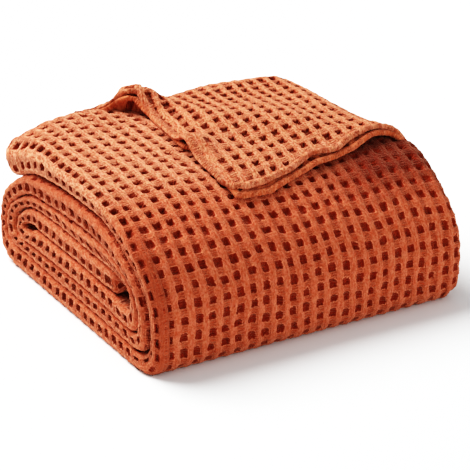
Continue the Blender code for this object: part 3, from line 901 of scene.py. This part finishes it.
def flapSurface(u, v, depth, hemLine="upper", leftLine="leftX", slack=0.0):
    # u from the rear fold to the hem, v across, depth below the upper face
    frontY = np.interp(v, flap["frontAt"], flap[hemLine])
    y = flap["rearY"] + (frontY - flap["rearY"]) * u
    leftX = np.interp(y, flap["leftY"], flap[leftLine])
    x = leftX + (flap["rightX"] - leftX) * v
    z = bodyTop(np.maximum(y, flap["levelFrom"])) + flap["rest"] + 2 * flap["ply"] + flap["plyGap"]
    arch = flap["arch"]
    (mx, my), (ax, ay) = arch["middle"], arch["along"]
    along, across = (x - mx) * ax + (y - my) * ay, (x - mx) * ay - (y - my) * ax
    tip = flap["tip"]
    ending = falling(x, *tip["x"]) * rising(y, *tip["y"])
    behind = rising(y, *arch["rear"])
    z = z + arch["rise"] * (1 - slack) * bump(along, 0, arch["long"]) \
        * bump(across, 0, arch["wide"]) * (1 - ending) * (1 - behind) - tip["drop"] * ending
    cx, cy, rise, width, run = flap["lift"]
    z = z + rise * (1 - flap["slackLift"] * slack) * bump(y, cy, width) * bump(x, cx, run)
    for cx, cy, rise, run, width in flap["swells"]:
        z = z + rise * bump(y, cy, width) * bump(x, cx, run)
    # a low ridge runs across the corner
    ridge = flap["ridge"]
    (mx, my), (sx, sy) = ridge["middle"], ridge["slant"]
    past = sx * (x - mx) + sy * (y - my) - ridge["at"]
    ends = rising(x, *ridge["left"]) * falling(x, *ridge["right"])
    width = np.where(past < 0, ridge["front"], ridge["rear"])
    z = z + ridge["rise"] * ends * bump(past, 0.0, width)
    near = np.exp(-np.maximum(y - frontY, 0.0) / flap["hemReach"])
    for wx, rise, width in flap["waves"]:
        z = z + rise * bump(x, wx, width) * near
    root = rising(y, flap["rootDepth"], flap["rearY"] - flap["rootDepth"])
    z = z - flap["over"] * np.maximum(x - flap["overFrom"], 0.0) ** 2
    return np.stack([x, y, z - depth - flap["rootSink"] * root], -1), x - leftX, y - frontY


def flapCoordinates(points):
    x, y = (points[..., k] - flapWeave["middle"][k] for k in (0, 1))
    (p0, px, py), (q0, qx, qy) = flapWeave["p"], flapWeave["q"]
    return p0 + px * x + py * y, q0 + qx * x + qy * y


def borderSamples(length, step, far):
    # distances from a border: close together round the hem, then even
    start = np.array([0.0, 0.008, 0.03, 0.07, 0.12, 0.18, 0.25, 0.32, 0.38, 0.43, 0.48, 0.54,
                      0.62, 0.70, 0.80, 0.90, 1.0])
    if far:
        middle = np.linspace(1.0, length - 1.0, int((length - 2.0) / step))[1:-1]
        return np.concatenate([start, middle, length - start[::-1]]) / length
    rest = np.linspace(1.0, length, int((length - 1.0) / step))[1:]
    return np.concatenate([start, rest]) / length


def hemHalf(left, front, right):
    # half the thickness of a ply: a rolled hem, a stitched groove, then flat
    near = np.minimum(np.minimum(left, front), right)
    edge = np.sqrt(1 - (1 - np.clip(near / hem["radius"], 0, 1)) ** 2)
    beads = 1 + hem["bead"] * np.sin(2 * math.pi * hem["beads"] * (left - front + 0.8 * near))
    roll = 1 + hem["roll"] * bump(near, hem["rollAt"], hem["rollWidth"]) * beads
    groove = 1 - hem["stitch"] * bump(near, hem["stitchAt"], hem["stitchWidth"])
    return 0.5 * flap["ply"] * edge * roll * groove, near


def plyFaces(depth, step, hemLine="upper", leftLine="leftX", droop=0.0, relief=1.0, slack=0.0):
    # both faces of a ply, as two grids
    us = 1 - borderSamples(flap["long"], step, False)[::-1]
    vs = borderSamples(flap["wide"], step, True)
    u, v = np.meshgrid(us, vs, indexing="ij")
    middle, left, front = flapSurface(u, v, depth + 0.5 * flap["ply"], hemLine, leftLine, slack)
    kept = 1 - flap["droopKept"] * bump(middle[..., 1], *flap["droopAt"])
    middle[..., 2] -= droop * bump(left, 0.0, flap["droopReach"]) * kept
    right = flap["rightX"] - middle[..., 0]
    half, near = hemHalf(left, front, right)
    p, q = flapCoordinates(middle)
    settled = settle(middle)
    up = np.zeros_like(settled)
    up[..., 2] = 1
    normal = gridNormals(settled, up)
    fade = rising(near, *hem["weave"]) * relief
    for x, y, wide, deep in flap["plain"]:
        spot = flap["plainShare"] * bump(middle[..., 0], x, wide) * bump(middle[..., 1], y, deep)
        fade = fade * (1 - spot)
    wider = flap["open"]
    far = falling(q, *wider["rows"])
    look = dict(flapLook)
    for key in ("tall", "wide", "depth"):
        look[key] = flapLook[key] * (1 + wider[key] * far)
    height, pit = waffle(p, q, look)
    faces = []
    for side in (1, -1):
        fuzz = cloth["fuzz"] * dust.normal(size=half.shape)
        points = settled + side * normal * (half + height * fade + fuzz)[..., None]
        outward = (normal * gridCross(points)).sum() * side > 0
        faces.append({"points": points, "weave": np.stack([p, q, pit * fade], -1),
                      "flip": not outward})
    return faces


# the face that shows is fine, the one turned down is coarse and plain
fineFaces = plyFaces(0.0, flap["fineStep"], droop=flap["droop"])
coarseFaces = plyFaces(0.0, flap["coarseStep"], droop=flap["droop"], relief=0.0)
upper = buildPiece("corner_upper", fineFaces[:1] + coarseFaces[1:], cottonTurned)
lowerFaces = plyFaces(flap["ply"] + flap["plyGap"], flap["lowerStep"], "lower", "lowerX",
                      slack=flap["slack"])
lower = buildPiece("corner_lower", lowerFaces, cottonShadedUnder)

# the fold that joins the plies at the rear
rearFold = {"long": 17.3, "step": 0.12, "steps": 24, "reach": 0.5, "cells": 0.6}
bothPlies = 2 * flap["ply"] + flap["plyGap"]
v, a = np.meshgrid(borderSamples(rearFold["long"], rearFold["step"], True),
                   np.linspace(0, math.pi, rearFold["steps"]), indexing="ij")
high = 0.5 * bothPlies
points = flapSurface(np.zeros_like(v), v, high)[0]
points[..., 1] += rearFold["reach"] * np.sin(a)
points[..., 2] += high * np.cos(a)
p, q = flapCoordinates(points)
q = q - rearFold["cells"] * a
away = np.stack([np.zeros_like(a), np.sin(a), np.cos(a)], -1)
fold = buildPiece("corner_fold", [patch(points, away, p, q, flapLook, proud=0.0)], cotton)

# the cloth folded in under the arch
tuckIn = {"upSteps": 22, "from": 8.9, "to": 13.0, "steps": 70, "inward": 0.95, "lean": 0.45,
          "wave": 0.10, "sunk": 0.1, "relief": 0.25}
t, y = np.meshgrid(np.linspace(0, 1, tuckIn["upSteps"]),
                   np.linspace(tuckIn["from"], tuckIn["to"], tuckIn["steps"]), indexing="ij")
x = np.interp(y, flap["leftY"], flap["lowerX"]) + tuckIn["inward"] - tuckIn["lean"] * t \
    + tuckIn["wave"] * np.sin(4.0 * y + 2.0 * t)
# v is taken over the right side's x alone, close enough for the height of the ceiling here
v = (x - np.interp(y, flap["leftY"], flap["leftX"])) / flap["rightX"]
u = (flap["rearY"] - y) / (flap["rearY"] - np.interp(v, flap["frontAt"], flap["upper"]))
ceiling = flapSurface(u, v, bothPlies, slack=flap["slack"])[0][..., 2]
bottom = bodyTop(y) - tuckIn["sunk"]
points = np.stack([x, y, bottom + (ceiling - bottom) * t], -1)
away = np.zeros_like(points)
away[..., 0] = -1
p, q = flapCoordinates(points)
tuck = buildPiece("corner_tuck", [patch(points, away, p, q, flapLook, tuckIn["relief"])],
                  cottonShadedUnder)
pieces += [upper, lower, fold, tuck]
print("%d pieces of cloth built" % len(pieces))

# fit to the frame
for piece in pieces:
    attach(piece, "root")
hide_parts("blanket")

# floor, light and camera
half = 6   # metres from the middle of the floor to its sides
corners = [(-half, -half, 0), (half, -half, 0), (half, half, 0), (-half, half, 0)]
floorMesh = bpy.data.meshes.new("floor")
floorMesh.from_pydata(corners, [], [(0, 1, 2, 3)])
floor = addObject("floor", floorMesh)
paper = bpy.data.materials.new("palePaper")
paper.use_nodes = True
setInputs(paper.node_tree.nodes["Principled BSDF"],
          {"Base Color": (0.89, 0.93, 0.94, 1), "Roughness": 1.0, "Specular IOR Level": 0.0})
floorMesh.materials.append(paper)
floor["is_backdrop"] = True

lights = [
    {"name": "key", "place": (-0.82, 1.52, 2.22), "size": 1.9, "power": 118.0,
     "color": (1, 0.98, 0.96)},
    {"name": "fill", "place": (0.5, -1.5, 0.30), "size": 1.2, "power": 7.0,
     "color": (1, 0.97, 0.94)},
]
lightAim = Vector((0, 0, 0.05))
for spec in lights:
    data = bpy.data.lights.new(spec["name"], "AREA")
    data.shape, data.size, data.energy = "DISK", spec["size"], spec["power"]
    data.color = spec["color"]
    lamp = addObject(spec["name"], data)
    lamp.location = spec["place"]
    aim = lightAim - Vector(spec["place"])
    lamp.rotation_euler = aim.to_track_quat("-Z", "Y").to_euler()
world = bpy.data.worlds.new("studio")
world.use_nodes = True
setInputs(world.node_tree.nodes["Background"], {"Color": (1, 1, 1, 1), "Strength": 0.40})
bpy.context.scene.world = world
print("floor and lights ready")

# the photo's tone: a soft curve with deep shadows, the same for every channel
tone = {"white": 1.6, "half": 0.42, "power": 1.7, "top": 1.16, "points": 14, "spacing": 1.6}
view = bpy.context.scene.view_settings
view.view_transform = "Standard"
view.use_curve_mapping = True
mapping = view.curve_mapping
mapping.white_level = (tone["white"],) * 3
curve = mapping.curves[3]   # the one for all channels together
for k in range(1, tone["points"]):
    at = (k / tone["points"]) ** tone["spacing"]
    lifted = (at * tone["white"] / tone["half"]) ** tone["power"]
    curve.points.new(at, min(1.0, tone["top"] * lifted / (1 + lifted)))
mapping.update()

# the photo's camera: place in cells, angles in degrees, focal length and width in pixels
shot = {"place": (-50.524, -92.742, 53.105), "yaw": 31.623, "pitch": 23.804, "roll": 0.894,
        "focal": 1821.35, "width": 470, "sensor": 36.0}
yaw, pitch, roll = (math.radians(shot[k]) for k in ("yaw", "pitch", "roll"))
ahead = Vector((math.sin(yaw) * math.cos(pitch), math.cos(yaw) * math.cos(pitch),
                -math.sin(pitch)))
side = Vector((math.cos(yaw), -math.sin(yaw), 0.0))
upward = side.cross(ahead)
right = math.cos(roll) * side + math.sin(roll) * upward
top = -math.sin(roll) * side + math.cos(roll) * upward
lens = bpy.data.cameras.new("camera")
lens.sensor_width = shot["sensor"]
lens.lens = shot["focal"] / shot["width"] * shot["sensor"]
camera = addObject("camera", lens)
turned = Matrix((right, top, -ahead)).transposed().to_4x4()
where = (np.array(shot["place"]) - np.array([*cloth["middle"], 0.0])) * cloth["cell"]
camera.matrix_world = Matrix.Translation(Vector(where)) @ turned
bpy.context.scene.camera = camera

low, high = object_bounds()
print("visual box", [round(v, 4) for v in high - low])
